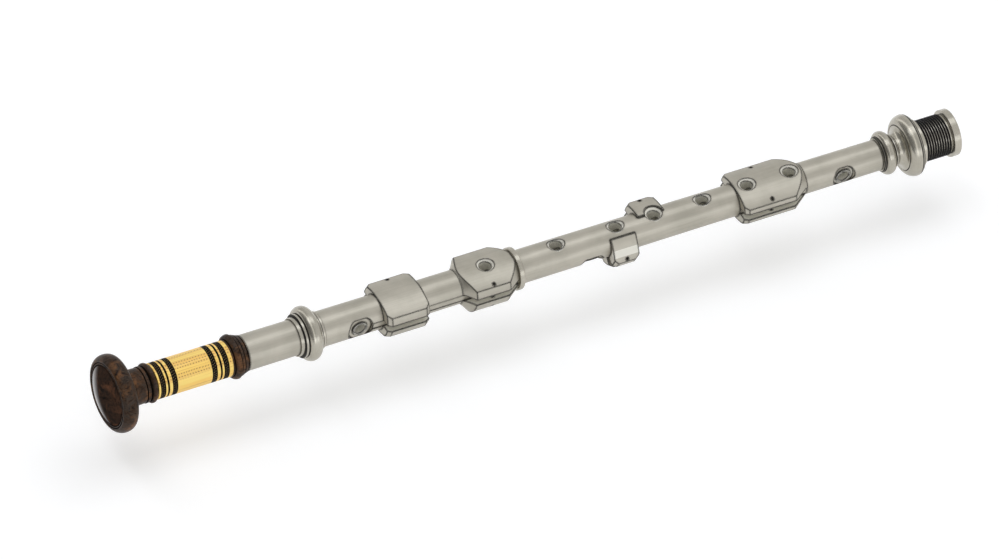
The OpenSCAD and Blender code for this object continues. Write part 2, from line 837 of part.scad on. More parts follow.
module reed_staple() {
    foot_x = -spigot_end_at - staple_seat_len;
    tip_x = staple_neck_x + staple_tip_len;
    r = staple_d / 2;
    tip_r = 1;
    color([0.80, 0.62, 0.28])
        turned([
            [r - staple_wall, foot_x],
            [r, foot_x],
            [r, staple_neck_x - 0.6],
            [neck_r_in, staple_neck_x],
            [tip_r, tip_x],
            [tip_r - staple_wall, tip_x],
            [neck_r_in - staple_wall, staple_neck_x],
            [r - staple_wall, staple_neck_x - 0.6]
        ]);
}

// A body that narrows from a round tail to flat lips, grown by a margin all round
module reed_form(tail_r, half_w, half_t, over) {
    slice = 0.2;
    hull() {
        translate([staple_neck_x - over, 0, 0])
            rotate([0, 90, 0])
                cylinder(r = tail_r, h = slice, $fn = 32);
        translate([blade_tip_x - slice, -half_w, -half_t])
            cube([slice + over, 2 * half_w, 2 * half_t]);
    }
}

module reed_outer(margin) {
    reed_form(neck_r_in + glue_gap + blade_tail_t + margin, lip_w / 2 + margin, lip_t + 0.1 + margin, 0);
}

module reed_blade() {
    color([0.86, 0.74, 0.48])
        intersection() {
            difference() {
                reed_outer(0);
                reed_form(neck_r_in + glue_gap, lip_w / 2 - 0.3, 0.1, 0.1);
            }
            translate([staple_neck_x, -lip_w, glue_gap / 2])
                cube([blade_len, 2 * lip_w, lip_w]);
        }
}

module reed_binding() {
    binding_len = 4.2;
    wall = 0.35;
    color([0.42, 0.08, 0.07])
        difference() {
            translate([staple_neck_x + 0.1, 0, 0])
                rotate([0, 90, 0])
                    cylinder(r = neck_r_in + blade_tail_t + 2 * wall, h = binding_len, $fn = small_fn);
            reed_outer(glue_gap);
        }
}

// A flattened wire loop round the blades
module reed_bridle() {
    wire = 0.9;
    color([0.80, 0.62, 0.28])
        difference() {
            intersection() {
                reed_outer(wire);
                translate([staple_neck_x + 7, -lip_w, -lip_w])
                    cube([wire, 2 * lip_w, 2 * lip_w]);
            }
            reed_outer(glue_gap);
        }
}

upper_body();
top_bead();
head_mount();
tenon_lapping();
mid_lapping();
lower_body();
socket_collar();
lower_bead();
foot_lapping();
foot_sleeve();
sleeve_ferrule();
inlay_band(0);  // inlay_band_1
inlay_band(1);  // inlay_band_2
inlay_band(2);  // inlay_band_3
inlay_band(3);  // inlay_band_4
inlay_band(4);  // inlay_band_5
inlay_band(5);  // inlay_band_6
cap_lapping();
foot_cap();
cap_dome();
reed_staple();
reed_blade();  // reed_blade_upper
mirror([0, 0, 1]) reed_blade();  // reed_blade_lower
reed_binding();
reed_bridle();
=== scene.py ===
import math

import bmesh
import bpy
import numpy as np
from mathutils import Matrix, Vector


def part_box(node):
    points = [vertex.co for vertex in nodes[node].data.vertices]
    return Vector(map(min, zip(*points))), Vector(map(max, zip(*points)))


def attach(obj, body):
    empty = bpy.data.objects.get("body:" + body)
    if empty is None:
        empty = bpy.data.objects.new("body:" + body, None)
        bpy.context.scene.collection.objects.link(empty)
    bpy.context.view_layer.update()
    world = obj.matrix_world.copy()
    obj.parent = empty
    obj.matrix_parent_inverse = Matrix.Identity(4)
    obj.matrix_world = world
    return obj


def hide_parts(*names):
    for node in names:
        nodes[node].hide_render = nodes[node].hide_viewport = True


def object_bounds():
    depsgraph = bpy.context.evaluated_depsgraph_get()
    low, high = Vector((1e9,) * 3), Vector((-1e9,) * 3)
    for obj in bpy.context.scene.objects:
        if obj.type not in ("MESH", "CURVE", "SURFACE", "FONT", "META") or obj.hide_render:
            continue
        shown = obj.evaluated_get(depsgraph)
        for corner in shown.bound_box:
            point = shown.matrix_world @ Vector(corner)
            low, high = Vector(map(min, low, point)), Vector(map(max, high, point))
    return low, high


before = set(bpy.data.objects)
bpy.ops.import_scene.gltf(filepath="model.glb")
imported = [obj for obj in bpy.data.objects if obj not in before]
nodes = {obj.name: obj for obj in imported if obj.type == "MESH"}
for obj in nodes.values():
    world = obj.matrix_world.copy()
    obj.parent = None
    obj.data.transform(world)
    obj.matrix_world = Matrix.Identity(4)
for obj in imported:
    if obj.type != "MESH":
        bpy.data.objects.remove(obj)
cadLow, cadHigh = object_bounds()
mm = 0.001
print("frame loaded:", len(nodes), "nodes")

# Everything lies along x: the foot at -x, the reed at +x, the finger holes towards +z.

cameraSettings = {
    "back": (-0.3736, -0.5955, 0.7112),  # from the pipe towards the camera
    "right": (0.8853, -0.4578, 0.0817),
    "widthShown": 341.5,  # mm across the picture
    "aimX": -305.0,  # the point on the bore's axis that the next two are counted from, in mm
    "aimRight": 128.98,
    "aimUp": 37.91,
    "distance": 700.0,
    "sight": 10.0,  # m
}


# Stands a camera or lamp at a place in mm. It looks against back, and its own x lies along right.
def stand(name, data, right, back, centre):
    thing = bpy.data.objects.new(name, data)
    bpy.context.scene.collection.objects.link(thing)
    turned = Matrix((right, back.cross(right), back)).transposed().to_4x4()
    turned.translation = centre * mm
    thing.matrix_world = turned
    return thing


def placeCamera(s):
    back = Vector(s["back"]).normalized()
    right = Vector(s["right"])
    right = (right - back * right.dot(back)).normalized()
    up = back.cross(right)
    centre = Vector((s["aimX"], 0, 0)) + right * s["aimRight"] + up * s["aimUp"]
    lens = bpy.data.cameras.new("photoCamera")
    lens.type = "ORTHO"
    lens.ortho_scale = s["widthShown"] * mm
    lens.clip_end = s["sight"]
    bpy.context.scene.camera = stand("photoCamera", lens, right, back, centre + back * s["distance"])


placeCamera(cameraSettings)
bpy.context.scene.view_settings.view_transform = "Standard"
print("camera placed")


# A shader socket. Sums on it are written as Python expressions.
class Signal:
    def __init__(self, tree, socket):
        self.tree = tree
        self.socket = socket

    # Another output of the same node
    def also(self, out):
        return Signal(self.tree, self.socket.node.outputs[out])

    def work(self, operation, *values):
        return self.tree.node("ShaderNodeMath", {"operation": operation}, dict(enumerate(values)))

    def __add__(self, other):
        return self.work("ADD", self, other)

    def __radd__(self, other):
        return self.work("ADD", other, self)

    def __sub__(self, other):
        return self.work("SUBTRACT", self, other)

    def __rsub__(self, other):
        return self.work("SUBTRACT", other, self)

    def __mul__(self, other):
        return self.work("MULTIPLY", self, other)

    def __rmul__(self, other):
        return self.work("MULTIPLY", other, self)

    def __truediv__(self, other):
        return self.work("DIVIDE", self, other)

    def __pow__(self, other):
        return self.work("POWER", self, other)

    def __abs__(self):
        return self.work("ABSOLUTE", self)

    def sine(self):
        return self.work("SINE", self)

    def most(self, other):
        return self.work("MAXIMUM", self, other)

    # Goes from one value to the other between low and high, and stays there outside them
    def ramp(self, low, high, lowValue=0.0, highValue=1.0, way="SMOOTHSTEP"):
        limits = {"From Min": low, "From Max": high, "To Min": lowValue, "To Max": highValue}
        settings = {"interpolation_type": way, "clamp": True}
        return self.tree.node("ShaderNodeMapRange", settings, {"Value": self, **limits})


# The shader nodes of one material or world
class ShaderTree:
    def __init__(self, owner, outputKind):
        owner.use_nodes = True
        self.made = owner.node_tree.nodes
        self.links = owner.node_tree.links
        self.made.clear()
        self.output = self.made.new(outputKind)

    # A new node: first its settings, then the values or links of its sockets
    def node(self, kind, settings, values, out=0):
        made = self.made.new(kind)
        for key, value in settings.items():
            if key == "stops":
                self.setStops(made.color_ramp, value)
            else:
                setattr(made, key, value)
        self.feed(made, values)
        return Signal(self, made.outputs[out])

    def feed(self, made, values):
        for key, value in values.items():
            if isinstance(value, Signal):
                self.links.new(value.socket, made.inputs[key])
            else:
                made.inputs[key].default_value = value

    def setStops(self, ramp, stops):
        while len(ramp.elements) > 1:
            ramp.elements.remove(ramp.elements[-1])
        for index, (at, colour) in enumerate(stops):
            element = ramp.elements[0] if index == 0 else ramp.elements.new(at)
            element.position = at
            element.color = (*colour, 1)

    def show(self, shader):
        self.links.new(shader.socket, self.output.inputs[0])


class Finish(ShaderTree):
    def __init__(self, name):
        self.material = bpy.data.materials.new(name)
        super().__init__(self.material, "ShaderNodeOutputMaterial")
        self.shader = self.node("ShaderNodeBsdfPrincipled", {}, {})
        self.show(self.shader)
        self.place = self.node("ShaderNodeTexCoord", {}, {}, "Object")
        self.x = self.node("ShaderNodeSeparateXYZ", {}, {0: self.place})
        self.y = self.x.also(1)
        self.z = self.x.also(2)
        self.radius = (self.y * self.y + self.z * self.z) ** 0.5  # from the bore's axis
        self.angle = self.z.work("ARCTAN2", self.z, self.y)

    # Scale is one number, or three where the pattern is drawn out along an axis
    def noise(self, scale, detail, roughness, distortion=0.0):
        where = self.place
        if isinstance(scale, tuple):
            where = self.node("ShaderNodeVectorMath", {"operation": "MULTIPLY"}, {0: where, 1: scale})
            scale = 1
        values = {"Vector": where, "Scale": scale, "Detail": detail, "Roughness": roughness}
        return self.node("ShaderNodeTexNoise", {}, {**values, "Distortion": distortion})

    def colours(self, factor, stops):
        return self.node("ShaderNodeValToRGB", {"stops": stops}, {0: factor})

    def mix(self, factor, first, second):
        values = {0: factor}
        for key, colour in ((6, first), (7, second)):
            values[key] = colour if isinstance(colour, Signal) else (*colour, 1)
        return self.node("ShaderNodeMix", {"data_type": "RGBA"}, values, 2)

    def bump(self, height, depth, strength, under=None):
        values = {"Height": height, "Distance": depth, "Strength": strength}
        if under:
            values["Normal"] = under
        return self.node("ShaderNodeBump", {}, values)

    def softEdges(self, radius):
        return self.node("ShaderNodeBevel", {"samples": 6}, {"Radius": radius})

    # How far the softened normal leans from the true one: 0 on a face, more along its edges
    def edges(self, softened):
        true = self.node("ShaderNodeNewGeometry", {}, {}, "Normal")
        return 1 - self.node("ShaderNodeVectorMath", {"operation": "DOT_PRODUCT"}, {0: softened, 1: true}, 1)

    # 1 inside a straight hole into the pipe at x = -at mm, and 0 outside it. The way it faces is counted in
    # degrees from the front towards the top.
    def insideHole(self, at, facing, radius):
        across, outward = math.sin(math.radians(facing)), math.cos(math.radians(facing))
        along = self.x + at * mm
        side = self.y * across + self.z * outward
        depth = self.z * across - self.y * outward
        near = (along * along + side * side) ** 0.5
        return near.ramp(radius * 1.01, radius * 1.04, 1.0, 0.0) * depth.ramp(0.0, 0.2 * mm)

    # The piece's own attribute, 1 in the narrow corners between two turned forms. It masks the painted shade
    # there, and on the inlay the dust between the ridges.
    def recess(self, full=0.8, shade=0.96):
        corner = self.node("ShaderNodeAttribute", {"attribute_name": "recess"}, {}, "Fac")
        return corner.ramp(0.1, full, 0.0, shade)

    def paint(self, **values):
        self.feed(self.shader.socket.node, {key.replace("_", " "): value for key, value in values.items()})
        return self.material


satinSettings = {
    "pale": (0.480, 0.452, 0.386),
    "dull": (0.409, 0.386, 0.326),
    "dark": (0.012, 0.011, 0.009),  # painted shade: the dark lines along the edges and in hollow corners; also what the scratches darken towards
    "clouds": 90,
    "latheMarks": (5200, 240, 240),  # fine rings left by the lathe
    "scratches": (60, 2600, 2600),  # fine scratches along the pipe
    "scratchShade": 0.07,
    "metallic": 0.85,
    # added to the roughness under the painted shade lines
    "shadeLineRoughness": 0.45,
    "markStrength": 0.4,
}

pipeSatinSettings = {
    **satinSettings,
    "roughness": (0.36, 0.46),
    "markDepth": 0.004 * mm,
    "edgeSoftness": 0.14 * mm,
    "lineWidth": 0.9 * mm,  # of the painted shade line along the edges
    "lineLean": (0.001, 0.008),
    "lineShade": 0.96,
    "cavityLightColour": (0.74, 0.72, 0.64),  # painted light: the bore, the holes and the walls of the key slots are painted paler, so they read bright in their shade
    # how much of the painted light the inside takes
    "polish": 0.9,
    "cavityMetallic": 0.15,
    "boreReach": 4.9 * mm,
    "boreFade": 0.6 * mm,
    "slotHalf": 1.2 * mm,
    "blockReach": 6.46 * mm,  # the slots' walls stand outside this radius
    "fingerHoles": (48.1, 64.4, 81.7, 100.4, 115.2, 138.1, 165.4),  # mm from the head towards the foot
    "fingerRimReach": 2.95 * mm,
    "frontPads": (28.9, 215.9),
    "backPads": (21.0, 90.9, 252.6),
    "padLipReach": 2.75 * mm,
}

ringSatinSettings = {
    **satinSettings,
    "roughness": (0.22, 0.27),
    "markDepth": 0.0006 * mm,
}


# Slow clouds of paler and duller metal, under the lathe's marks and the scratches
def satinGround(f, s):
    clouds = f.noise(s["clouds"], 4, 0.6)
    marks = f.noise(s["latheMarks"], 2, 0.6)
    scratches = f.noise(s["scratches"], 3, 0.55)
    colour = f.mix(clouds.ramp(0.3, 0.7), s["dull"], s["pale"])
    colour = f.mix(scratches.ramp(0.35, 0.75, 0.0, s["scratchShade"]), colour, s["dark"])
    rough = (marks * 0.5 + scratches * 0.5 + clouds * 0.25).ramp(0.35, 0.85, *s["roughness"])
    return marks, scratches, colour, rough


# The dark lines are painted shade along the edges and in the hollow corners, and they don't shine
def paintSatin(f, s, colour, rough, metallic, line, normal):
    colour = f.mix(line, colour, s["dark"])
    rough = rough + line * s["shadeLineRoughness"]
    return f.paint(Base_Color=colour, Roughness=rough, Normal=normal, Metallic=(1 - line) * metallic)


def makePipeSatin(name, s):
    f = Finish(name)
    marks, scratches, colour, rough = satinGround(f, s)
    # Painted light: inside the bore, the holes and the key slots the colour goes paler and less metallic, so
    # these hollows read bright
    slot = abs(f.z).ramp(s["slotHalf"] * 1.01, s["slotHalf"] * 1.05, 1.0, 0.0)
    inside = slot * f.radius.ramp(s["blockReach"], s["blockReach"] * 1.02)
    inside = inside.most(f.radius.ramp(s["boreReach"] - s["boreFade"], s["boreReach"], 1.0, 0.0))
    holes = [(at, 90, s["fingerRimReach"]) for at in s["fingerHoles"]]
    holes += [(at, 0, s["padLipReach"]) for at in s["frontPads"]]
    holes += [(at, 180, s["padLipReach"]) for at in s["backPads"]]
    for hole in holes:
        inside = inside.most(f.insideHole(*hole))
    colour = f.mix(inside * s["polish"], colour, s["cavityLightColour"])
    metallic = inside.ramp(0.0, 1.0, s["metallic"], s["cavityMetallic"])
    # Painted shade: a dark line along every edge, where the wide softened normal leans from the true one
    line = f.edges(f.softEdges(s["lineWidth"])).ramp(*s["lineLean"], 0.0, s["lineShade"])
    soft = f.softEdges(s["edgeSoftness"])
    normal = f.bump(marks * 0.6 + scratches * 0.4, s["markDepth"], s["markStrength"], soft)
    return paintSatin(f, s, colour, rough, metallic, line, normal)


def makeRingSatin(name, s):
    f = Finish(name)
    marks, _, colour, rough = satinGround(f, s)
    normal = f.bump(marks, s["markDepth"], s["markStrength"])
    # The recess attribute masks painted shade here: dark lines in the grooves and hollow corners
    return paintSatin(f, s, colour, rough, s["metallic"], f.recess(), normal)


boxwoodSettings = {
    "light": (0.96, 0.69, 0.175),
    "mid": (0.93, 0.58, 0.115),
    "tan": (0.68, 0.35, 0.064),
    "streak": (0.36, 0.15, 0.030),
    "broadGrain": (9, 260, 260),
    "fineGrain": (22, 1500, 1500),
    "tanGrain": 0.5,
    "streakGrain": 0.35,
    "fleckGroups": (7, 330, 330),
    "fleckWobble": (160, 700, 700),
    "rowsAround": 38,
    "rowWander": 2.5,
    "fleckStep": 1.05 * mm,
    "fleckWander": 9,
    "groupShift": 30,  # so that the rows of two groups don't keep step
    "fleckShade": 0.9,
    "roughness": (0.34, 0.5),
    "poreDepth": 0.02 * mm,
    "polish": 0.14,
    "polishRoughness": 0.2,
}


# Pale wood with darker lengthwise grain, and rows of short brown flecks that follow one another along it
def makeBoxwood(name, s):
    f = Finish(name)
    broad = f.noise(s["broadGrain"], 3, 0.5, 0.3)
    groups = f.noise(s["fleckGroups"], 2, 0.5)
    fine = f.noise(s["fineGrain"], 5, 0.65, 0.2)
    wobble = f.noise(s["fleckWobble"], 2, 0.5)
    row = (f.angle * s["rowsAround"] + wobble * s["rowWander"]).sine().ramp(0.1, 0.7)
    dash = f.x * (2 * math.pi / s["fleckStep"]) + wobble * s["fleckWander"] + groups * s["groupShift"]
    dash = dash.sine().ramp(-0.1, 0.5)
    group = groups.ramp(0.50, 0.55)
    colour = f.mix(broad.ramp(0.35, 0.65), s["light"], s["mid"])
    colour = f.mix(group * 0.3, colour, s["tan"])
    colour = f.mix(fine.ramp(0.50, 0.66, 0.0, s["tanGrain"]), colour, s["tan"])
    colour = f.mix(group * row * dash * s["fleckShade"], colour, s["streak"])
    colour = f.mix(fine.ramp(0.60, 0.68, 0.0, s["streakGrain"]), colour, s["streak"])
    rough = fine.ramp(0.3, 0.7, *s["roughness"])
    normal = f.bump(fine * 0.6 + dash * 0.2, s["poreDepth"], 0.6)
    polish = {"Coat_Weight": s["polish"], "Coat_Roughness": s["polishRoughness"]}
    return f.paint(Base_Color=colour, Roughness=rough, Normal=normal, **polish)


darkWoodSettings = {
    "deep": (0.006, 0.004, 0.003),
    "brown": (0.046, 0.025, 0.014),
    "warm": (0.160, 0.073, 0.030),
    "grey": (0.050, 0.035, 0.026),
    # painted shade in the grooves and hollow corners
    "corner": (0.002, 0.0015, 0.001),
    "figure": 170.0,
    "warmth": 0.8,
    "pores": (500, 2400, 2400),
    "poreShade": 0.75,
    "poreDepth": 0.03 * mm,
    "roughness": (0.28, 0.46),
    "shine": 0.06,
    "polishedSide": (0, 0),
    "polishReach": (0.5 * mm, 7.0 * mm),
    "polishRoughness": 0.12,
    "lustre": (0.06, 0.06),
    "coatIor": 1.5,
}

burlSettings = {
    **darkWoodSettings,
    "deep": (0.004, 0.003, 0.002),
    "brown": (0.040, 0.021, 0.013),
    "warm": (0.150, 0.064, 0.032),
    "grey": (0.022, 0.014, 0.010),
    "figure": 100.0,
    "warmth": 0.7,
    "poreDepth": 0.02 * mm,
    "shine": 0.0,
    "polishedSide": (0.80, -0.60),  # the dome is polished by handling, most of all at its back edge
    "lustre": (0.02, 1.0),
    "coatIor": 2.5,
}


# Mottled dark wood: cloudy figure, warm patches, and fine pores drawn out along the grain
def makeDarkWood(name, s):
    f = Finish(name)
    swirl = f.noise(s["figure"], 5, 0.66, 1.8)
    patches = f.noise(s["figure"] * 1.2, 5, 0.64, 0.5)
    pores = f.noise(s["pores"], 4, 0.7, 0.3)
    colour = f.colours(swirl, [(0.34, s["deep"]), (0.47, s["brown"]), (0.58, s["grey"]), (0.72, s["deep"])])
    colour = f.mix(patches.ramp(0.46, 0.68, 0.0, s["warmth"]), colour, s["warm"])
    colour = f.mix(pores.ramp(0.50, 0.66, 0.0, s["poreShade"]), colour, s["deep"])
    # Painted shade: the grooves and hollow corners go nearly black, rougher and without coat
    corners = f.recess()
    colour = f.mix(corners, colour, s["corner"])
    rough = pores.ramp(0.35, 0.65, *s["roughness"]) + corners * 0.5
    normal = f.bump(1 - pores.ramp(0.5, 0.7), s["poreDepth"], 0.5)
    side = f.y * s["polishedSide"][0] + f.z * s["polishedSide"][1]
    lustre = side.ramp(*s["polishReach"], *s["lustre"]) * (1 - corners)
    polish = {"Coat_Weight": lustre, "Coat_Roughness": s["polishRoughness"], "Coat_IOR": s["coatIor"]}
    return f.paint(Base_Color=colour, Roughness=rough, Normal=normal, Specular_IOR_Level=s["shine"], **polish)


inlaySettings = {
    "black": (0.0015, 0.0012, 0.001),
    "worn": (0.008, 0.006, 0.005),
    "dust": (0.62, 0.45, 0.22),
    "dustiness": 0.6,
    "dashesAround": 42,
    "dashTwist": 0.3 * mm,
    "wear": 700,
    "wearDepth": 0.02 * mm,
    "roughness": (0.42, 0.62),
    "shine": 0.06,
}


# Black ridges, with the wood's dust left in dashes between them
def makeInlay(name, s):
    f = Finish(name)
    wear = f.noise(s["wear"], 4, 0.65)
    dashes = (f.angle * s["dashesAround"] + f.x / s["dashTwist"]).sine().ramp(0.7, 1.0)
    colour = f.mix(wear.ramp(0.45, 0.8), s["black"], s["worn"])
    colour = f.mix(f.recess(0.7, 1.0) * dashes * s["dustiness"], colour, s["dust"])
    rough = wear.ramp(0.3, 0.7, *s["roughness"])
    normal = f.bump(wear, s["wearDepth"], 0.4)
    return f.paint(Base_Color=colour, Roughness=rough, Normal=normal, Specular_IOR_Level=s["shine"])


threadSettings = {
    "shade": (0.0015, 0.0015, 0.0015),
    "highlight": (0.006, 0.006, 0.007),
    "twist": 2.2,  # strands crossed in each thread diameter
    "strands": 3,
    "fuzz": 9000,
    "bumpDepth": 0.05 * mm,
    "roughness": (0.6, 0.46),
    "shine": 0.14,
}

bindingSettings = {
    **threadSettings,
    "shade": (0.10, 0.012, 0.010),
    "highlight": (0.34, 0.05, 0.04),
}


# Twisted thread: u runs along it in thread diameters, v once round it
def makeThread(name, s):
    f = Finish(name)
    way = f.node("ShaderNodeUVMap", {"uv_map": "threadWay"}, {})
    along = f.node("ShaderNodeSeparateXYZ", {}, {0: way})
    around = along.also(1)
    strand = ((along * s["twist"] + around * s["strands"]) * (2 * math.pi)).sine() * 0.5 + 0.5
    fuzz = f.noise(s["fuzz"], 3, 0.7)
    lit = strand.ramp(0.35, 1.0, 0.0, 0.7) * fuzz.ramp(0.3, 0.7, 0.4, 1.0)
    colour = f.mix(lit, s["shade"], s["highlight"])
    rough = strand.ramp(0.0, 1.0, *s["roughness"])
    normal = f.bump(strand + fuzz * 0.5, s["bumpDepth"], 0.5)
    return f.paint(Base_Color=colour, Roughness=rough, Normal=normal, Specular_IOR_Level=s["shine"])


brassSettings = {
    "bright": (0.80, 0.59, 0.25),
    "dark": (0.36, 0.22, 0.08),
    "tarnish": 420,
    "tarnished": 0.7,
    "marks": (9000, 300, 300),
    "markDepth": 0.004 * mm,
    "roughness": (0.22, 0.5),
}


def makeBrass(name, s):
    f = Finish(name)
    tarnish = f.noise(s["tarnish"], 5, 0.65, 0.6)
    marks = f.noise(s["marks"], 2, 0.6)
    colour = f.mix(tarnish.ramp(0.45, 0.75, 0.0, s["tarnished"]), s["bright"], s["dark"])
    rough = tarnish.ramp(0.3, 0.8, *s["roughness"])
    normal = f.bump(marks, s["markDepth"], 0.5)
    return f.paint(Base_Color=colour, Roughness=rough, Normal=normal, Metallic=1.0)


caneSettings = {
    "pale": (0.82, 0.64, 0.33),
    "straw": (0.60, 0.40, 0.15),
    "fibre": (0.33, 0.19, 0.07),
    "clouds": 220,
    "fibres": (70, 3600, 3600),
    "fibreShade": 0.6,
    "fibreDepth": 0.02 * mm,
    "roughness": (0.5, 0.68),
}


def makeCane(name, s):
    f = Finish(name)
    fibres = f.noise(s["fibres"], 4, 0.6, 0.1)
    clouds = f.noise(s["clouds"], 3, 0.5)
    colour = f.mix(clouds.ramp(0.3, 0.7), s["pale"], s["straw"])
    colour = f.mix(fibres.ramp(0.52, 0.7, 0.0, s["fibreShade"]), colour, s["fibre"])
    rough = fibres.ramp(0.3, 0.7, *s["roughness"])
    return f.paint(Base_Color=colour, Roughness=rough, Normal=f.bump(fibres, s["fibreDepth"], 0.6))


pipeFinish = makePipeSatin("pipeSatin", pipeSatinSettings)
ringFinish = makeRingSatin("ringSatin", ringSatinSettings)
boxwoodFinish = makeBoxwood("boxwood", boxwoodSettings)
darkWoodFinish = makeDarkWood("darkWood", darkWoodSettings)
burlFinish = makeDarkWood("burlWood", burlSettings)
inlayFinish = makeInlay("blackInlay", inlaySettings)
threadFinish = makeThread("waxedThread", threadSettings)
bindingFinish = makeThread("bindingThread", bindingSettings)
brassFinish = makeBrass("stapleBrass", brassSettings)
caneFinish = makeCane("reedCane", caneSettings)
print("materials made")


# Each new piece: its finish, the body that carries it, its material slot and the node that it stands for
pieces = {
    "footCap": (darkWoodFinish, "cap", "dark_wood", "foot_cap"),
    "capDome": (burlFinish, "cap", "burl_wood", "cap_dome"),
    "footSleeve": (boxwoodFinish, "sleeve", "boxwood", "foot_sleeve"),
    "sleeveFerrule": (darkWoodFinish, "sleeve", "dark_wood", "sleeve_ferrule"),
    "lowerRing": (ringFinish, "lower_section", "pipe_satin", "lower_bead"),
    "socketCollar": (ringFinish, "lower_section", "pipe_satin", "socket_collar"),
    "topRing": (ringFinish, "upper_section", "pipe_satin", "top_bead"),
    "head": (ringFinish, "upper_section", "pipe_satin", "head_mount"),
    "stockLapping": (threadFinish, "upper_section", "waxed_thread", "tenon_lapping"),
    "midLapping": (threadFinish, "mid_joint_thread", "waxed_thread", "mid_lapping"),
    "footLapping": (threadFinish, "foot_joint_thread", "waxed_thread", "foot_lapping"),
    "capLapping": (threadFinish, "cap_joint_thread", "waxed_thread", "cap_lapping"),
    "reedBladeUpper": (caneFinish, "reed", "cane", "reed_blade_upper"),
    "reedBladeLower": (caneFinish, "reed", "cane", "reed_blade_lower"),
    "reedStaple": (brassFinish, "reed", "staple_brass", "reed_staple"),
    "reedBinding": (bindingFinish, "reed", "binding_thread", "reed_binding"),
    "reedBridle": (brassFinish, "reed", "staple_brass", "reed_bridle"),
}
for n in range(1, 7):
    pieces["inlayBand%d" % n] = (inlayFinish, "sleeve", "black_inlay", "inlay_band_%d" % n)


# A new piece from rows of points on a grid, in m. The columns close on themselves, and the rows may.
def gridPiece(name, points, closeRows, uv=None, recess=None):
    rows, columns = points.shape[:2]
    i, j = np.meshgrid(np.arange(rows if closeRows else rows - 1), np.arange(columns), indexing="ij")
    here = i * columns
    there = (i + 1) % rows * columns
    nextJ = (j + 1) % columns
    corners = np.stack([here + j, there + j, there + nextJ, here + nextJ], -1)
    mesh = bpy.data.meshes.new(name)
    mesh.from_pydata(points.reshape(-1, 3).tolist(), [], corners.reshape(-1, 4).tolist())
    if uv is not None:
        cornerUv = np.stack([uv(i, j), uv(i + 1, j), uv(i + 1, j + 1), uv(i, j + 1)], -2)
        mesh.uv_layers.new(name="threadWay").data.foreach_set("uv", cornerUv.reshape(-1))
    if recess is not None:
        layer = mesh.attributes.new("recess", "FLOAT", "POINT")
        layer.data.foreach_set("value", recess.repeat(columns))
    return finishPiece(name, mesh)


seamGap = 0.0004 * mm  # points nearer than this are one


# Closes the seams and poles, turns the faces outwards and puts the piece on its body
def finishPiece(name, mesh):
    finish, body, slot, node = pieces[name]
    work = bmesh.new()
    work.from_mesh(mesh)
    bmesh.ops.remove_doubles(work, verts=work.verts, dist=seamGap)
    bmesh.ops.recalc_face_normals(work, faces=work.faces)
    if work.calc_volume(signed=True) < 0:
        bmesh.ops.reverse_faces(work, faces=work.faces)
    work.to_mesh(mesh)
    work.free()
    mesh.shade_smooth()
    mesh.materials.append(finish)
    piece = bpy.data.objects.new(name, mesh)
    bpy.context.scene.collection.objects.link(piece)
    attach(piece, body)
    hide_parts(node)
    return piece


cutShare = 0.42  # the most of a wall that a rounded corner takes
besideCut = 1.2  # long walls get one more point, this many cuts from the corner


# Rounds the corners of a closed outline of (radius, x) in mm: each one becomes the curve
# (1 - t)^2 start + 2 t (1 - t) corner + t^2 end, between the places on its two walls where the cut begins.
# A corner's third number is its own rounding, where it has one, and a fourth number 1 marks the walls beside
# it for painted shade. Each point made is [radius, x, recess], and recess, the mask of the painted shade, is
# 1 in a sharp hollow corner too.
def roundOutline(corners, rounding, steps=5):
    points = np.array([c[:2] for c in corners], float)
    radii = [c[2] if len(c) > 2 else rounding for c in corners]
    marked = np.array([c[3] if len(c) > 3 else 0.0 for c in corners])
    following = np.roll(points, -1, 0)
    before = points - np.roll(points, 1, 0)
    after = following - points
    area = (points[:, 0] * following[:, 1] - following[:, 0] * points[:, 1]).sum()
    lengths = np.linalg.norm(before, axis=1) * np.linalg.norm(after, axis=1)
    turn = (before[:, 0] * after[:, 1] - before[:, 1] * after[:, 0]) / np.maximum(lengths, 1e-9)
    hollow = np.maximum((turn * np.sign(area) < -0.5) * 1.0, marked)
    darkBefore = np.maximum(marked, np.roll(marked, 1))
    darkAfter = np.maximum(marked, np.roll(marked, -1))
    t = np.linspace(0, 1, steps)[:, None]
    made = []
    for k, point in enumerate(points):
        backLength = np.linalg.norm(before[k])
        onLength = np.linalg.norm(after[k])
        cut = min(radii[k], cutShare * backLength, cutShare * onLength)
        if point[0] < 1e-6 or cut < 1e-6:
            made.append([[*point, hollow[k]]])
            continue
        back = before[k] / backLength * cut
        on = after[k] / onLength * cut
        if backLength > 3 * cut:
            made.append([[*(point - back * besideCut), darkBefore[k]]])
        curve = (1 - t) ** 2 * (point - back) + 2 * t * (1 - t) * point + t * t * (point + on)
        made.append(np.hstack([curve, np.full((steps, 1), hollow[k])]))
        if onLength > 3 * cut:
            made.append([[*(point + on * besideCut), darkAfter[k]]])
    return np.concatenate(made)


# Corners on an elliptic arc, (centreR + halfR cos a, centreX + halfX sin a), between two angles in degrees
def arc(centreR, centreX, halfR, halfX, fromAngle, toAngle, steps=18):
    a = np.radians(np.linspace(fromAngle, toAngle, steps))
    return [(centreR + halfR * c, centreX + halfX * s, 0.0) for c, s in zip(np.cos(a), np.sin(a))]


# A narrow square groove in an outline that runs towards +x, below a surface at radius r. Its floor corners
# are marked for painted shade.
def groove(r, x, width, depth, nextR=None):
    floor = [(r - depth, x + 0.02, 0.03, 1.0), (r - depth, x + width - 0.02, 0.03, 1.0)]
    return [(r, x, 0.03), *floor, (nextR or r, x + width, 0.03)]


# A turned piece: each point [r, x] of a closed outline goes round the bore as (x, r cos a, r sin a)
def turned(name, corners, rounding, steps=5, around=160):
    outline = roundOutline(corners, rounding, steps)
    a = np.linspace(0, 2 * math.pi, around, endpoint=False)
    r = outline[:, :1]
    x = np.repeat(outline[:, 1:2], around, 1)
    points = np.stack([x, r * np.cos(a), r * np.sin(a)], -1) * mm
    return gridPiece(name, points, True, recess=outline[:, 2])


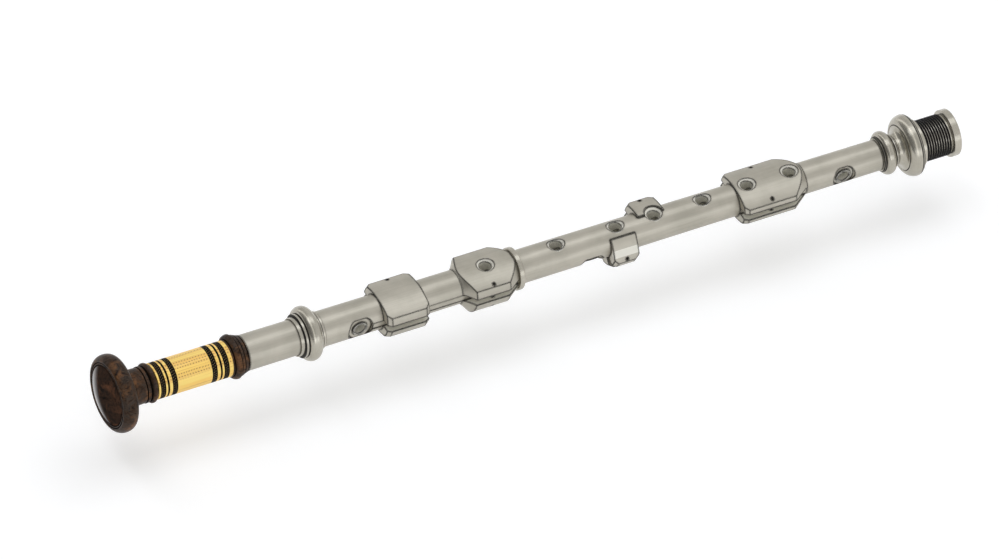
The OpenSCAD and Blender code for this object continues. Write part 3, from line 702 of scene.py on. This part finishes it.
# A round cord along a path in mm: rings of radius r, each point r (outward cos a + side sin a) from the path,
# where side is square to the way and to outward. Both ends close in a point.
def wound(name, path, outwards, radius, sides):
    way = np.gradient(path, axis=0)
    way /= np.linalg.norm(way, axis=1)[:, None]
    side = np.cross(way, outwards)
    a = np.linspace(0, 2 * math.pi, sides, endpoint=False)[None, :, None]
    rings = path[:, None] + radius * (np.cos(a) * outwards[:, None] + np.sin(a) * side[:, None])
    ends = path[[0, -1], None].repeat(sides, 1)
    rings = np.concatenate([ends[:1], rings, ends[1:]])
    step = np.linalg.norm(path[1] - path[0]) / (2 * radius)

    def uv(i, j):
        return np.stack([i * step, j / sides], -1)

    return gridPiece(name, rings * mm, False, uv)


# The outward directions (0, cos a, sin a) of a winding about the bore
def outwardsAt(a):
    return np.stack([0 * a, np.cos(a), np.sin(a)], -1)


# A helix about the bore, (startX + pitch t, r cos 2 pi t, r sin 2 pi t) after t turns
def helix(startX, pitch, turns, radius, perTurn):
    t = np.arange(turns * perTurn + 1) / perTurn
    out = outwardsAt(2 * math.pi * t)
    path = out * radius
    path[:, 0] = startX + pitch * t
    return path, out


def box(node):
    low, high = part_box(node)
    return low / mm, high / mm


fitGap = 0.02  # mm between pieces that are fixed together

capSettings = {
    "rimLength": 5.4,
    "rimMiddle": 0.56,  # the share of it where the rim is widest
    "rimOut": 1.3,  # the rim's curve is centred this far outside the dome
    "neck": 6.35,
    "neckStep": 0.2,
    "bead": 7.15,
    "beadRound": 0.9,
    "beadBack": 1.25,  # from the sleeve to the bead's crest
    "shoulder": 6.1,
    "tenon": 4.55,
    "threadFloor": 4.0,
    "landLength": 1.4,
    "domeRadius": 10.7,
    "domeHeight": 2.2,
    "domeSeat": 1.6,
    "faceGroovePitch": 0.78,
}


# A groove sunk into the cap's face, from radius r outwards. Its inner corners are marked for painted shade.
def faceGroove(r, faceX):
    return [(r, faceX + 0.42, 0.04, 1.0), (r + 0.36, faceX + 0.42, 0.04, 1.0), (r + 0.4, faceX + 0.12, 0.06)]


def makeCap(s):
    low, high = box("foot_cap")
    faceX = low.x
    tipX = high.x
    sleeveX = box("foot_sleeve")[0].x
    hole = s["domeRadius"] + fitGap
    nextGroove = hole + s["faceGroovePitch"]
    rimR = s["domeRadius"] + s["rimOut"]
    rimX = faceX + s["rimLength"]
    middleX = faceX + s["rimLength"] * s["rimMiddle"]
    beadX = sleeveX - s["beadBack"]
    neck = s["neck"]
    neckTop = neck + s["neckStep"]
    tenon = s["tenon"]
    floor = s["threadFloor"]
    land = s["landLength"]
    turned("footCap", [
        (0, faceX + s["domeSeat"]),
        (hole, faceX + s["domeSeat"], 0.05),
        *faceGroove(hole, faceX),
        (nextGroove - 0.04, faceX + 0.1, 0.08),
        *faceGroove(nextGroove, faceX),
        *arc(rimR, middleX, high.y - rimR, middleX - faceX, -80, 80, 30),
        (rimR - 1.6, rimX, 0.5),  # the cove behind the rim
        (neck + 1.5, rimX + 0.15, 1.0),
        (neck + 0.65, rimX + 1.2, 0.6),
        (neckTop, rimX + 3.0, 1.0),
        *groove(neck, beadX - 3.1, 0.36, 0.3, neckTop),
        *groove(neckTop, beadX - 1.75, 0.7, 0.45, neckTop),
        *arc(s["bead"] - s["beadRound"], beadX, s["beadRound"], 0.95, -82, 82, 16),
        (s["shoulder"], sleeveX - 0.15, 0.06),
        (s["shoulder"], sleeveX - fitGap, 0.05),
        (tenon, sleeveX - fitGap, 0.05),
        (tenon, sleeveX + land, 0.08),
        (floor, sleeveX + land + 0.02, 0.08),  # between the lands lies the thread
        (floor, tipX - land - 0.02, 0.08),
        (tenon, tipX - land, 0.08),
        (tenon, tipX - 0.3, 0.1),
        (tenon - 0.3, tipX, 0.1),
        (0, tipX),
    ], 0.1, around=200)
    r = s["domeRadius"]
    height = s["domeHeight"]
    backX = box("cap_dome")[1].x
    ball = (r * r + height * height) / (2 * height)
    edge = math.degrees(math.asin((r - 0.25) / ball))
    turned("capDome", [
        *arc(0, faceX - height + ball, ball, ball, -90, -90 + edge, 30),
        (r, faceX + 0.12, 0.12),
        (r, backX, 0.05),
        (0, backX),
    ], 0.1, around=200)


makeCap(capSettings)
print("cap made")

sleeveSettings = {
    "radius": 6.5,
    "socket": 4.6,
    "socketSpare": 0.5,  # beyond the end of the tenon in it
    "bore": 2.15,
    "ferruleSeat": 5.7,
    "bandDepth": 0.6,
    "combRidges": 3,  # in each 2 mm of a band
    "combDepth": 0.12,
    "combWidth": 0.32,
}


def makeSleeve(s):
    low, high = box("foot_sleeve")
    ferruleX = box("sleeve_ferrule")[0].x - 0.01
    r = s["radius"]
    floor = r - s["bandDepth"]
    bands = [box("inlay_band_%d" % n) for n in range(1, 7)]
    recesses = []
    for start, end in bands:
        recesses += [(r, start.x, 0.03), (floor, start.x, 0.03), (floor, end.x, 0.03), (r, end.x, 0.03)]
    capSocket = box("foot_cap")[1].x + s["socketSpare"]
    footSocket = box("lower_body")[0].x - s["socketSpare"]
    turned("footSleeve", [
        (s["socket"], low.x, 0.15),
        (r, low.x, 0.1),
        *recesses,
        (r, ferruleX, 0.06),
        (s["ferruleSeat"], ferruleX, 0.05),
        (s["ferruleSeat"], high.x, 0.05),
        (s["socket"], high.x, 0.15),
        (s["socket"], footSocket, 0.1),
        (s["bore"], footSocket, 0.05),
        (s["bore"], capSocket, 0.05),
        (s["socket"], capSocket, 0.1),
    ], 0.05)
    for n, (start, end) in enumerate(bands, 1):
        makeBand("inlayBand%d" % n, start.x, end.x, floor + fitGap, s)


# A black band with narrow grooves cut round it, standing level with the sleeve
def makeBand(name, startX, endX, innerR, s):
    ridges = max(1, round((endX - startX) / 2.0 * s["combRidges"]))
    step = (endX - startX) / ridges
    r = s["radius"]
    width = s["combWidth"]
    outline = [(innerR, startX, 0.02), (r, startX, 0.03)]
    for k in range(1, ridges):
        outline += groove(r, startX + k * step - width / 2, width, s["combDepth"])
    outline += [(r, endX, 0.03), (innerR, endX, 0.02)]
    turned(name, outline, 0.03, 3)


makeSleeve(sleeveSettings)

# The places along the ferrule are shares of its length, counted from the sleeve
ferruleSettings = {
    "seat": 5.72,
    "sleeveR": 6.5,
    "pipeR": 6.42,
    "bead": 0.14,
    "crest": 0.43,
    "step": 0.66,
    "lastCone": 0.55,  # mm
}


# From the sleeve: a flat ring, a bead that is cut off square at its highest place, and two stepped cones
def makeFerrule(s):
    low, high = box("sleeve_ferrule")
    length = high.x - low.x
    r = s["sleeveR"]
    pipe = s["pipeR"]
    top = high.y
    bead = low.x + length * s["bead"]
    crest = low.x + length * s["crest"]
    last = high.x - s["lastCone"]
    turned("sleeveFerrule", [
        (s["seat"], low.x, 0.05),
        (r + 0.12, low.x, 0.08),
        *groove(r + 0.15, bead - 0.38, 0.38, 0.4, r + 0.4),
        *arc(r + 0.4, crest, top - r - 0.4, crest - bead, -86, 0, 20),
        *groove(top - 0.1, crest + 0.1, 0.4, 0.8, r + 1.0),
        (r + 0.98, crest + 0.75, 0.1),
        *groove(r + 0.86, low.x + length * s["step"], 0.4, 0.55, r + 0.62),
        *groove(pipe + 0.34, last - 0.1, 0.38, 0.3, pipe + 0.24),
        (pipe + 0.06, high.x, 0.08),
        (s["seat"], high.x, 0.05),
    ], 0.05)


makeFerrule(ferruleSettings)
print("sleeve, bands and ferrule made")

# Each ring's bead stands at a share of its length, counted from the foot
lowerRingSettings = {
    "seat": 6.52,
    "step": 0.42,
    "bead": 0.54,
    "beadHalf": 0.3,
    "beadRound": 2.2,
}


def makeLowerRing(s):
    low, high = box("lower_bead")
    length = high.x - low.x
    seat = s["seat"]
    step = s["step"]
    beadX = low.x + length * s["bead"]
    half = length * s["beadHalf"]
    wide = s["beadRound"]
    turned("lowerRing", [
        (seat, low.x, 0.05),
        (seat + step, low.x, 0.12),
        *groove(seat + step, low.x + length * 0.13, 0.38, 0.36, seat + 3.2 * step),
        *groove(seat + 3.3 * step, low.x + length * 0.25, 0.4, 0.6, seat + 3.6 * step),
        *arc(high.y - wide, beadX, wide, half * 0.9, -66, 86, 26),
        *groove(seat + 1.4 * step, beadX + half * 0.92, 0.36, 0.4, seat + 1.3 * step),
        *groove(seat + 1.3 * step, beadX + half * 1.16, 0.36, 0.45, seat + 0.6 * step),
        (seat + 0.6 * step, high.x, 0.12),
        (seat, high.x, 0.05),
    ], 0.08)


collarSettings = {
    "seat": 5.92,
    "footRounding": 0.4,
    "headRounding": 0.45,
}


def makeCollar(s):
    low, high = box("socket_collar")
    turned("socketCollar", [
        (s["seat"], low.x, 0.05),
        (high.y, low.x, s["footRounding"]),
        (high.y, high.x, s["headRounding"]),
        (s["seat"], high.x, 0.05),
    ], 0.1, 8)


topRingSettings = {
    "seat": 4.62,
    "pipe": 5.42,
    "bead": 0.44,
    "beadHalf": 0.27,
    "beadRound": 1.3,
}


def makeTopRing(s):
    low, high = box("top_bead")
    length = high.x - low.x
    beadX = low.x + length * s["bead"]
    pipe = s["pipe"]
    turned("topRing", [
        (s["seat"], low.x, 0.05),
        (pipe + 0.35, low.x, 0.05),
        *groove(pipe + 0.5, low.x + 0.06, 0.4, 0.45, pipe + 0.8),
        *groove(pipe + 0.8, low.x + 0.58, 0.45, 0.6, pipe + 0.95),
        *arc(high.y - s["beadRound"], beadX, s["beadRound"], length * s["beadHalf"], -84, 84, 22),
        *groove(pipe + 0.5, beadX + length * 0.33, 0.38, 0.4, pipe + 0.48),
        *groove(pipe + 0.48, beadX + length * 0.45, 0.38, 0.5, pipe + 0.1),
        (pipe + 0.08, high.x - 0.03, 0.12),
        (s["seat"], high.x - 0.01, 0.05),
    ], 0.08)


makeLowerRing(lowerRingSettings)
makeCollar(collarSettings)
makeTopRing(topRingSettings)

headSettings = {
    "spigot": 4.62,
    "spigotEnd": -4.0,
    "neck": 5.48,
    "edge": 8.05,  # the radius where the hollow neck meets the bell
    "neckLength": 2.5,
    "bellyX": -1.4,  # where the bell is widest
    "tenon": 8.35,
    "land": 2.0,
    "threadFloor": 6.95,
    "collarStart": 12.2,
    "chamber": 6.0,
}


def makeHead(s):
    low, high = box("head_mount")
    edge = s["edge"]
    edgeX = low.x + s["neckLength"]
    bell = high.y
    bellyX = s["bellyX"]
    endX = high.x
    tenon = s["tenon"]
    floor = s["threadFloor"]
    chamber = s["chamber"]
    cove = arc(edge, low.x, edge - s["neck"], s["neckLength"], 2, 88, 14)
    turned("head", [
        (s["spigot"], low.x, 0.05),
        *[(2 * edge - r, x, 0.0) for r, x, _ in cove],
        # a shallow scribed line where the neck meets the bell, marked for painted shade
        (edge - 0.14, edgeX + 0.05, 0.02, 1.0),
        (edge - 0.14, edgeX + 0.32, 0.02, 1.0),
        *arc(edge, bellyX, bell - edge, bellyX - edgeX, -82, 0, 30),
        *groove(bell - 0.04, bellyX + 0.08, 0.46, 0.4, bell - 0.18),
        *groove(bell - 0.28, bellyX + 0.8, 0.46, 0.4, bell - 0.7),
        (bell - 1.2, -0.02, 0.2),
        (tenon, 0, 0.1),
        (tenon, s["land"] - 0.3, 0.12),
        (floor, s["land"], 0.1),
        (floor, s["collarStart"], 0.1),
        (tenon, s["collarStart"] + 0.2, 0.15),
        (tenon, endX - 0.3, 0.25),
        (tenon - 0.3, endX, 0.25),
        (chamber + 0.4, endX, 0.15),
        (chamber, endX - 0.4, 0.2),
        (chamber, s["spigotEnd"], 0.2),
        (s["spigot"], s["spigotEnd"], 0.05),
    ], 0.1, around=200)


makeHead(headSettings)
print("rings and head made")

lappingSettings = {
    "turnGap": 0.94,
    "halfHeight": 0.2,
    "halfWidth": 0.31,
    "floor": 6.95,
    "lift": 0.03,  # of the thread off its floor
    "innerThread": 0.235,
    "innerRadius": 4.3,
}


# Widens each turn of a helix along x about the turn's own middle, x = startX + pitch (a / 2 pi + whole turns)
def flattenThread(piece, startX, pitch, share):
    co = np.empty(len(piece.data.vertices) * 3)
    piece.data.vertices.foreach_get("co", co)
    co = co.reshape(-1, 3)
    turn = np.arctan2(co[:, 2], co[:, 1]) / (2 * math.pi)
    middle = (startX + pitch * (turn + np.round((co[:, 0] / mm - startX) / pitch - turn))) * mm
    co[:, 0] = middle + (co[:, 0] - middle) * share
    piece.data.vertices.foreach_set("co", co.ravel())


# The stock tenon's thread is flattened by its wax and tension. The three in the joints are plain windings.
def makeLappings(s):
    low, high = box("tenon_lapping")
    gap = s["turnGap"]
    turns = int((high.x - low.x) / gap)
    startX = (low.x + high.x - turns * gap) / 2
    path, out = helix(startX, gap, turns, s["floor"] + s["halfHeight"] + s["lift"], 72)
    piece = wound("stockLapping", path, out, s["halfHeight"], 12)
    flattenThread(piece, startX, gap, s["halfWidth"] / s["halfHeight"])
    for name in ("midLapping", "footLapping", "capLapping"):
        low, high = box(pieces[name][3])
        pitch = 2 * s["innerThread"]
        turns = int((high.x - low.x) / pitch) - 1
        startX = (low.x + high.x - turns * pitch) / 2
        path, out = helix(startX, pitch, turns, s["innerRadius"], 40)
        wound(name, path, out, s["innerThread"], 8)


makeLappings(lappingSettings)
print("lappings made")

reedSettings = {
    "tailX": -3.5,
    "length": 17.8,
    "tailR": 2.72,
    "lipHalf": 4.6,
    "lipThickness": 0.45,
    "wall": 0.75,  # of the cane at the tail
    "sideWall": 0.45,
    "slit": 0.02,  # half of it, between the blades
    "bindingStart": 0.1,
    "bindingLength": 4.2,
    "bindingThread": 0.16,
    "bridleAt": 7.4,
    "bridleWire": 0.3,
    "bridleTurns": 2,
    "bridleWidth": 0.62,
}


# Half width and half thickness of the reed at a share t of its length: round at the tail, flat at the lips
def reedSection(s, t, grow=0.0):
    halfWidth = s["tailR"] + (s["lipHalf"] - s["tailR"]) * t ** 0.85 + grow
    halfThick = s["tailR"] + (s["lipThickness"] - s["tailR"]) * (1 - (1 - t) ** 1.15) + grow
    return halfWidth, halfThick


# A blade is a curved shell: its outside follows half an ellipse that goes flat, its inside a smaller one
def makeBlade(s, name, sign):
    t = np.linspace(0, 1, 48)[:, None]
    a = np.linspace(0.02, math.pi - 0.02, 40)[None, :]
    halfWidth, halfThick = reedSection(s, t)
    innerWidth = halfWidth - s["sideWall"] + 0.2 * t
    innerThick = np.maximum(halfThick - s["wall"] + 0.52 * t, 0.06)
    x = s["tailX"] + s["length"] * t + 0 * a
    outer = np.stack([x, halfWidth * np.cos(a), sign * (s["slit"] + halfThick * np.sin(a))], -1)
    inner = np.stack([x, innerWidth * np.cos(a), sign * (s["slit"] + innerThick * np.sin(a))], -1)
    ring = np.concatenate([outer, inner[:, ::-1]], 1)
    first = closedEnd(ring[:1])
    last = closedEnd(ring[-1:])
    gridPiece(name, np.concatenate([first, ring, last]) * mm, False)


# The same ring with its two halves drawn together on the line between them
def closedEnd(ring):
    half = ring.shape[1] // 2
    middle = (ring[:, :half] + ring[:, half:][:, ::-1]) / 2
    return np.concatenate([middle, middle[:, ::-1]], 1)


# A winding round the reed, over angles a, with its path at distances along from the tail
def windReed(s, name, a, along, section, radius, sides):
    halfWidth, halfThick = section
    path = np.stack([s["tailX"] + along, halfWidth * np.cos(a), halfThick * np.sin(a)], -1)
    wound(name, path, outwardsAt(a), radius, sides)


def makeReed(s):
    makeBlade(s, "reedBladeUpper", 1)
    makeBlade(s, "reedBladeLower", -1)
    low, high = box("reed_staple")
    tailX = s["tailX"]
    turned("reedStaple", [
        (2.0, low.x, 0.08),
        (2.4, low.x, 0.12),
        (2.4, tailX - 0.6, 0.2),
        (1.88, tailX, 0.3),
        (1.0, high.x, 0.05),
        (0.6, high.x, 0.05),
        (1.5, tailX, 0.2),
        (2.0, tailX - 0.6, 0.2),
    ], 0.05, around=64)
    thread = s["bindingThread"]  # half its thickness
    turns = int((s["bindingLength"] - 2 * thread) / (2 * thread))
    k = np.arange(turns * 32 + 1) / 32  # turns so far, in steps of one 32nd
    along = s["bindingStart"] + thread + 2 * thread * k
    section = reedSection(s, along / s["length"], thread + fitGap)
    windReed(s, "reedBinding", 2 * math.pi * k, along, section, thread, 8)
    wire = s["bridleWire"]
    k = np.linspace(0, s["bridleTurns"], 129)
    along = s["bridleAt"] + (k / s["bridleTurns"] - 0.5) * s["bridleWidth"]
    section = reedSection(s, s["bridleAt"] / s["length"], wire + fitGap)
    windReed(s, "reedBridle", 2 * math.pi * k, along, section, wire, 10)


makeReed(reedSettings)
print("reed made")

# The two lengths of the pipe show as they are
for name in ("upper_body", "lower_body"):
    nodes[name].data.materials.clear()
    nodes[name].data.materials.append(pipeFinish)

studioSettings = {
    "floorDrop": 16.0,
    "floorSize": 6.0,  # m
    "floorColour": (0.92, 0.92, 0.92),
    "fibreColour": (0.90, 0.90, 0.90),
    "fibres": 400,
    "floorRoughness": 0.9,
    "glow": 0.19,  # the floor's own, only where it is looked at or mirrored
    "footwardLight": 0.18,  # the room is darker past the foot, so faces that look there read darker
    "headwardLight": 0.84,
    "roomReach": (-0.85, 0.35),
    "gleamAt": -0.3,  # a brighter strip all round the room gives the rings their gleam
    "gleamReach": 0.15,
    "gleamLight": 1.6,
    "background": 1.0,
}


def makeFloor(s):
    half = s["floorSize"] / 2
    z = cadLow.z - s["floorDrop"] * mm
    corners = [(-half, -half, z), (half, -half, z), (half, half, z), (-half, half, z)]
    mesh = bpy.data.meshes.new("floor")
    mesh.from_pydata(corners, [], [(0, 1, 2, 3)])
    f = Finish("floorPaper")
    fibres = f.noise(s["fibres"], 3, 0.6).ramp(0.3, 0.7, 0.0, 0.3)
    colour = f.mix(fibres, s["floorColour"], s["fibreColour"])
    paper = f.paint(Base_Color=colour, Roughness=s["floorRoughness"])
    seen = f.node("ShaderNodeLightPath", {}, {}, "Is Camera Ray")
    glow = f.node("ShaderNodeEmission", {}, {"Strength": seen.most(seen.also("Is Glossy Ray")) * s["glow"]})
    f.show(f.node("ShaderNodeAddShader", {}, {0: glow, 1: f.shader}))
    mesh.materials.append(paper)
    floor = bpy.data.objects.new("floor", mesh)
    bpy.context.scene.collection.objects.link(floor)


# Seen directly or through glass the room is plain white. Its light changes along x only.
def makeWorld(s):
    world = bpy.data.worlds.new("studio")
    bpy.context.scene.world = world
    w = ShaderTree(world, "ShaderNodeOutputWorld")
    seen = w.node("ShaderNodeLightPath", {}, {}, "Is Camera Ray")
    seen = seen.most(seen.also("Is Transmission Ray"))
    way = w.node("ShaderNodeTexCoord", {}, {}, "Generated")
    along = w.node("ShaderNodeSeparateXYZ", {}, {0: way})
    room = along.ramp(*s["roomReach"], s["footwardLight"], s["headwardLight"], "LINEAR")
    gleam = abs(along - s["gleamAt"]).ramp(0.0, s["gleamReach"], s["gleamLight"], 0.0)
    strength = w.node("ShaderNodeMix", {}, {0: seen, 2: room + gleam, 3: s["background"]})
    w.show(w.node("ShaderNodeBackground", {}, {"Color": (1, 1, 1, 1), "Strength": strength}))


# Both softboxes lie along the pipe. Angles are counted from the front towards the top.
softboxSettings = {
    "distance": 900,
    "length": 1400,
    "middleX": -150,
    "colour": (0.91, 0.94, 1.0),
    "boxes": {
        "topBox": {"angle": 98, "width": 420, "power": 2.1},
        "frontBox": {"angle": 12, "width": 330, "power": 1.5},
    },
}


def makeSoftbox(name, s, own):
    light = bpy.data.lights.new(name, "AREA")
    light.shape = "RECTANGLE"
    light.size = s["length"] * mm
    light.size_y = own["width"] * mm
    light.energy = own["power"]
    light.color = s["colour"]
    a = math.radians(own["angle"])
    back = Vector((0, -math.cos(a), math.sin(a)))
    stand(name, light, Vector((1, 0, 0)), back, back * s["distance"] + Vector((s["middleX"], 0, 0)))


makeFloor(studioSettings)
makeWorld(studioSettings)
for name, own in softboxSettings["boxes"].items():
    makeSoftbox(name, softboxSettings, own)
print("studio made")
